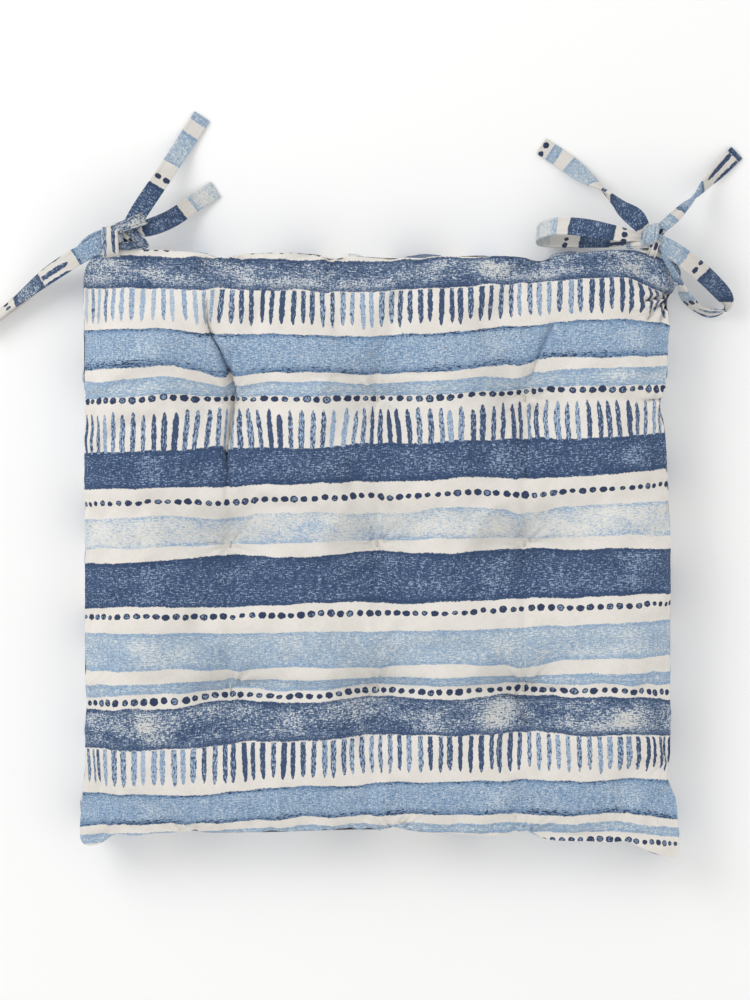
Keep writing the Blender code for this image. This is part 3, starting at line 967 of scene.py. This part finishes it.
# Shallow valleys between tufts, along their rows and their columns: place, depth, half width
ROW_VALLEYS = ((TUFT_PITCH_Y, 0.0020, 0.0080), (0.0, 0.0014, 0.0080), (-TUFT_PITCH_Y, 0.0042, 0.0065))
COLUMN_VALLEYS = tuple((at, 0.0014, 0.0040) for at in (-TUFT_PITCH_X, 0.0, TUFT_PITCH_X))
VALLEY_END = 0.165
VALLEY_FADE = 0.05

# Heights of the cover's small folds, and how far from their seam, tuft or notch they reach
SAG = 0.0009
RIPPLE = 0.0005
GATHER, GATHER_REACH = 0.0021, 0.013
PLEAT, PLEAT_REACH = 0.0024, 0.017
NOTCH_PLEAT, NOTCH_PLEAT_REACH = 0.9, 0.022


def tufts():
    for row in (1, 0, -1):
        for column in (-1, 0, 1):
            yield column * TUFT_PITCH_X, row * TUFT_PITCH_Y


def to_line(x, y, line):
    """Signed distance to a bent line at each place, and how far along it that is, from 0 to 1."""
    best = np.full(len(x), 1e9)
    signed, along = np.zeros(len(x)), np.zeros(len(x))
    hops = len(line) - 1
    for i, ((ax, ay), (bx, by)) in enumerate(zip(line, line[1:])):
        dx, dy = bx - ax, by - ay
        span = dx * dx + dy * dy
        t = np.clip(((x - ax) * dx + (y - ay) * dy) / span, 0, 1)
        away = np.hypot(x - ax - t * dx, y - ay - t * dy)
        side = np.sign((x - ax) * dy - (y - ay) * dx)
        closer = away < best
        best[closer] = away[closer]
        signed[closer] = (away * side)[closer]
        along[closer] = ((i + t) / hops)[closer]
    return signed, along


def crease_ends(along):
    """1 along a crease and less towards its two ends."""
    return np.clip(np.minimum(along, 1 - along) * 8, 0, 1)


def sideways(line):
    """The direction, as (x, y), in which to_line's distance grows."""
    (ax, ay), (bx, by) = line[0], line[-1]
    span = math.hypot(bx - ax, by - ay)
    return (by - ay) / span, (ax - bx) / span


def print_places(x, y):
    """The print's place for each place in plan: gathered at tufts and folds, and leaning as it was cut."""
    u, v = x.copy(), y.copy()
    for cx, cy in tufts():
        near = TUFT_GATHER * np.exp(-((x - cx) ** 2 + (y - cy) ** 2) / TUFT_GATHER_REACH**2)
        u += (x - cx) * near
        v += (y - cy) * near
    for line, _, _, hidden in CREASES:
        signed, along = to_line(x, y, line)
        slip = 0.5 * hidden * np.tanh(signed / 0.003) * crease_ends(along) * np.exp(-np.abs(signed) / 0.03)
        side_x, side_y = sideways(line)
        u += slip * side_x
        v += slip * side_y
    u += np.sign(x) * EDGE_ROLL * np.clip((np.abs(x) - EDGE_ROLL_START) / EDGE_ROLL_REACH, 0, 1.2) ** 2
    where, left, right = (np.array(column) for column in zip(*PRINT_LEAN))
    rise_left, rise_right = np.interp(y, where, left), np.interp(y, where, right)
    to_left = np.clip(x / LEAN_LEFT_X, 0, 1.1)
    to_right = np.clip(x / LEAN_RIGHT_X, 0, 1.25)
    v -= rise_left * to_left**1.3 + rise_right * to_right**1.5
    for cx, cy, rise, wide in PRINT_PULLS:
        v -= rise * np.exp(-((x - cx) ** 2 + (y - cy) ** 2) / wide**2)
    to_right, to_rear = ((at - start) / CORNER_DROOP_REACH for at, start in zip((x, y), CORNER_DROOP_START))
    v += CORNER_DROOP * np.clip(to_right, 0, 1.1) ** 2 * np.clip(to_rear, 0, 1)
    return np.stack([u, v], axis=1)


def start_height(x, y):
    """The top panel before it is blown up: a low dome, drawn down at each tuft."""
    rise = (1 - min(1.0, abs(x) / HALF_X) ** 6) * (1 - min(1.0, abs(y) / HALF_Y) ** 6)
    top = SEAM_Z + START_RISE * rise
    for cx, cy in tufts():
        near = math.hypot(x - cx, y - cy) / TUFT_REACH
        if near < 1:
            top -= (top - TUFT_Z) * (1 - near * near) ** 2
    return top


def seam_rise(x, y):
    """How far the seam round the top rises or falls at a place along it."""
    broad, fine = noise.noise(Vector((x * 13, y * 13, 81))), noise.noise(Vector((x * 42, y * 42, 82)))
    return SEAM_RISE * (broad + 0.5 * fine)


def rim_index():
    """The grid's rim as (i, j), anticlockwise from the front left corner."""
    n = CELLS
    found = [(i, 0) for i in range(n)] + [(n, j) for j in range(n)]
    return found + [(i, n) for i in range(n, 0, -1)] + [(0, j) for j in range(n, 0, -1)]


def cover_start():
    """Points, faces, each face's cloth and each corner's place on it, before the simulation."""
    n = CELLS
    points = []
    for a, b in grid(n):
        x, y = plan(a, b)
        points.append((x, y, start_height(x, y) + seam_rise(x, y) * max(abs(a), abs(b)) ** 14))
    flat = np.array(points)
    top_places = print_places(flat[:, 0], flat[:, 1])
    faces = grid_faces(n)
    cloths = [0] * len(faces)
    uvs = [[top_places[k] for k in face] for face in faces]
    rim = [j * (n + 1) + i for i, j in rim_index()]
    ring = [rim]
    for row in range(1, BOXING_ROWS + 1):
        share = row / BOXING_ROWS
        level = []
        for k in rim:
            x, y, z = points[k]
            inset = UNDERSIDE_INSET * share**4 + BOXING_WAIST * math.sin(math.pi * share)
            inward = 1 - inset / HALF_X
            level.append(len(points))
            points.append((x * inward, y * inward, z + (UNDERSIDE_Z - z) * share))
        ring.append(level)
    around = len(rim)
    for row in range(BOXING_ROWS):
        for k in range(around):
            m = (k + 1) % around
            faces.append((ring[row][k], ring[row + 1][k], ring[row + 1][m], ring[row][m]))
            side = k // n
            cloths.append(1 + side)
            at = (k - side * n) / n * 2 * HALF_X - HALF_X
            step = 2 * HALF_X / n
            down, next_down = -SEAM_Z * row / BOXING_ROWS, -SEAM_Z * (row + 1) / BOXING_ROWS
            uvs.append([(down, at), (next_down, at), (next_down, at + step), (down, at + step)])
    return points, faces, cloths, uvs, ring


def blow_up(piece, start, ring):
    """Cloth simulation: pressure fills the cover out between its seams and tufts."""
    held = set(ring[0]) | set(ring[-1])
    for k, (x, y, _) in enumerate(start[: (CELLS + 1) ** 2]):
        if any(abs(x - cx) < TUFT_HALF_X and abs(y - cy) < TUFT_HALF_Y for cx, cy in tufts()):
            held.add(k)
    group = piece.vertex_groups.new(name="held")
    group.add(sorted(held), 1.0, "REPLACE")
    cloth = piece.modifiers.new("cloth", "CLOTH")
    settings = cloth.settings
    for name, given in CLOTH_SETTINGS:
        setattr(settings, name, given)
    settings.effector_weights.gravity = 0
    for step in range(1, CLOTH_FRAMES + 1):
        scene.frame_set(step)
    graph = bpy.context.evaluated_depsgraph_get()
    blown = points_of(piece.evaluated_get(graph).data)
    piece.modifiers.clear()
    scene.frame_set(1)
    move = blown - start
    far = np.linalg.norm(move, axis=1)
    move *= np.minimum(1.0, CLOTH_CAP / np.maximum(far, 1e-9))[:, None]
    set_points(piece.data, start + move)


def to_seam(x, y):
    """How far each place is from the nearest seam in plan, and how far along the seams that is."""
    sides = np.stack([y + HALF_Y, HALF_X - x, HALF_Y - y, x + HALF_X])
    nearest = sides.argmin(0)
    along = np.where(nearest % 2 == 0, x, y) + nearest * 1.7
    return np.maximum(sides.min(0), 0.0), along


def notch_point(side, along):
    """The place in plan of a notch in a side."""
    if side in ("front", "rear"):
        return along, HALF_Y if side == "rear" else -HALF_Y
    return HALF_X if side == "right" else -HALF_X, along


def pleats(x, y, centre, size, reach, seed):
    """Sharp-bottomed folds that spread from a point and die out with distance."""
    away = np.hypot(x - centre[0], y - centre[1])
    angle = np.arctan2(y - centre[1], x - centre[0])
    ray = wander(np.cos(angle) * 3.0, np.sin(angle) * 3.0, seed)
    folds = np.minimum(np.abs(ray) * 3.2, 1.0) - 0.6
    return size * folds * np.exp(-((away / reach) ** 2)) * np.clip(away / 0.004, 0, 1)


def relief(x, y):
    """The top's small folds: gathers along its seams, pleats round its tufts and creases between them."""
    lift = SAG * wander(x * 38, y * 26, 1.5) + RIPPLE * wander(x * 85, y * 60, 2.5)
    away, along = to_seam(x, y)
    gather = wander(along * 95, away * 12, 3.5) + 0.6 * wander(along * 190, away * 20, 4.5)
    lift += GATHER * gather * np.exp(-away / GATHER_REACH)
    for number, (side, at, depth) in enumerate(SEAM_NOTCHES):
        lift += pleats(x, y, notch_point(side, at), depth * NOTCH_PLEAT, NOTCH_PLEAT_REACH, 30 + number)
    for number, centre in enumerate(tufts()):
        lift += pleats(x, y, centre, PLEAT, PLEAT_REACH, 10 + number)
    directions = ((y, x, ROW_VALLEYS, 0.004, 50), (x, y, COLUMN_VALLEYS, 0.003, 60))
    for across, over, valleys, sway, seed in directions:
        within = np.clip((VALLEY_END - np.abs(over)) / VALLEY_FADE, 0, 1)
        for at, depth, half in valleys:
            bend = sway * wander(over * 22, 0, seed + at)
            lift -= depth * within * np.exp(-(((across - at - bend) / half) ** 2))
    for line, depth, half, _ in CREASES:
        signed, along_line = to_line(x, y, line)
        fade = crease_ends(along_line)
        lift -= depth * fade * np.exp(-np.abs(signed) / half)
        lift += depth * 0.25 * fade * np.exp(-(((signed - 0.008) / 0.006) ** 2))
    return lift * np.clip(away / 0.003, 0, 1)


def drawn_in(x, y):
    """How far the cloth moves sideways towards each crease, so that the crease is narrow."""
    shift_x, shift_y = np.zeros(len(x)), np.zeros(len(x))
    for line, depth, _, _ in CREASES:
        signed, along_line = to_line(x, y, line)
        pull = -0.55 * signed * crease_ends(along_line) * np.exp(-np.abs(signed) / 0.005)
        pull *= min(1.0, depth / 0.004)
        side_x, side_y = sideways(line)
        shift_x += pull * side_x
        shift_y += pull * side_y
    return shift_x, shift_y


def crumple_boxing(mesh):
    """Upright folds in the boxing, drawn in a little and flat at its two seams."""
    corners = read(mesh.loops, "vertex_index", np.int32)
    cloth_of = read(mesh.polygons, "material_index", np.int32)
    walls = np.unique(corners.reshape(-1, 4)[cloth_of > 0])
    spots = points_of(mesh)
    x, y, z = spots[walls].T
    middle = np.clip(z / SEAM_Z, 0, 1)
    middle = (4 * middle * (1 - middle)) ** 0.7
    folds = wander(x * 44, y * 44, z * 18 + 71) + 0.4 * wander(x * 110, y * 110, z * 45 + 72)
    folds -= BOXING_DRAWN_IN
    spots[walls] += normals_of(mesh)[walls] * (BOXING_FOLD * folds * middle)[:, None]
    set_points(mesh, spots)


def split(piece, cloths):
    """The piece's faces as one new object for each cloth, in the order of cloths: (name, material)."""
    made = []
    for index, (name, material) in enumerate(cloths):
        bm = bmesh.new()
        bm.from_mesh(piece.data)
        others = [face for face in bm.faces if face.material_index != index]
        bmesh.ops.delete(bm, geom=others, context="FACES")
        for face in bm.faces:
            face.material_index = 0
        mesh = bpy.data.meshes.new(name)
        bm.to_mesh(mesh)
        bm.free()
        mesh.materials.clear()
        mesh.materials.append(material)
        mesh.shade_smooth()
        made.append(add(name, mesh))
    bpy.data.objects.remove(piece)
    return made


def cover(top_material, boxing_material):
    points, faces, cloths, uvs, ring = cover_start()
    mesh = bpy.data.meshes.new("cover")
    mesh.from_pydata(points, [], faces)
    layer = mesh.uv_layers.new(name="print")
    layer.data.foreach_set("uv", np.array(uvs, np.float32).ravel())
    for _ in ("top", *SIDES):
        mesh.materials.append(top_material)
    mesh.polygons.foreach_set("material_index", np.array(cloths, np.int32))
    piece = add("cover", mesh)
    blow_up(piece, np.array(points), ring)

    crease = mesh.attributes.new("crease_edge", "FLOAT", "EDGE")
    seam = set(ring[0])
    pairs = read(mesh.edges, "vertices", np.int32, 2)
    sharp = [float(a in seam and b in seam) for a, b in pairs]
    crease.data.foreach_set("value", sharp)
    smooth = piece.modifiers.new("smooth", "SUBSURF")
    smooth.levels = smooth.render_levels = 2
    smooth.uv_smooth = "NONE"
    apply_modifiers(piece)
    crumple_boxing(piece.data)

    names = [("cover_top", top_material)] + [(f"cover_boxing_{side}", boxing_material) for side in SIDES]
    top, *strips = split(piece, names)
    spots = points_of(top.data)
    x, y = spots[:, 0].copy(), spots[:, 1].copy()
    spots += normals_of(top.data) * relief(x, y)[:, None]
    shift_x, shift_y = drawn_in(x, y)
    spots[:, 0] += shift_x
    spots[:, 1] += shift_y
    set_points(top.data, spots)
    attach(top, "pad")
    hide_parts("top_panel", "filling")
    for side, strip in zip(SIDES, strips):
        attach(strip, "pad")
        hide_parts(f"boxing_{side}")
    return top


def stitches(top, material):
    """One loop of thread at each tuft, drawn down between the folds."""
    spots = points_of(top.data)
    rows, columns = ("rear", "middle", "front"), ("left", "centre", "right")
    names = [f"{row}_{column}" for row in rows for column in columns]
    for name, (cx, cy) in zip(names, tufts()):
        near = np.hypot(spots[:, 0] - cx, spots[:, 1] - cy) < STITCH_LENGTH
        high = spots[near, 2].mean() + STITCH_RADIUS * 0.3
        half = STITCH_LENGTH / 2
        line = [(cx, cy - half, STITCH_LOW), (cx, cy - half, high - half / 2), (cx, cy - half / 2, high)]
        line += [(cx, cy + half / 2, high), (cx, cy + half, high - half / 2), (cx, cy + half, STITCH_LOW)]
        curve = bpy.data.curves.new(f"tuft_stitch_{name}", "CURVE")
        curve.dimensions = "3D"
        curve.bevel_depth = STITCH_RADIUS
        curve.bevel_resolution = 2
        run = curve.splines.new("POLY")
        run.points.add(len(line) - 1)
        for point, spot in zip(run.points, line):
            point.co = (*spot, 1.0)
        run.use_cyclic_u = True
        curve.materials.append(material)
        loop = add(curve.name, curve)
        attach(loop, "pad")
        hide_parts(f"tuft_thread_{name}")


def underside(material):
    """The bottom panel, flat on what the pad lies on, with a shallow dent at each tuft."""
    n = CELLS // 2
    points, places = [], []
    shrink = 1 - UNDERSIDE_INSET / HALF_X
    for a, b in grid(n):
        x, y = plan(a, b)
        z = UNDERSIDE_Z
        for cx, cy in tufts():
            near = math.hypot(x - cx, y - cy) / UNDERSIDE_DENT_REACH
            z += UNDERSIDE_DENT * (1 - near * near) ** 2 if near < 1 else 0.0
        points.append((x * shrink, y * shrink, z))
        places.append((-x, y))
    panel = mesh_piece("cover_underside", points, grid_faces(n, upward=False), places, material)
    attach(panel, "pad")
    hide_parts("bottom_panel")


stage()
stripes = painted_stripes()
printed_cotton = cotton("printed_cotton", stripes)
boxing_cotton = cotton("boxing_cotton", stripes)
underside_cotton = cotton("underside_cotton", stripes)
tape_cotton = cotton("tape_cotton", stripes, bright=0.79)
thread = thread_material()
ties(tape_cotton)
stitches(cover(printed_cotton, boxing_cotton), thread)
underside(underside_cotton)
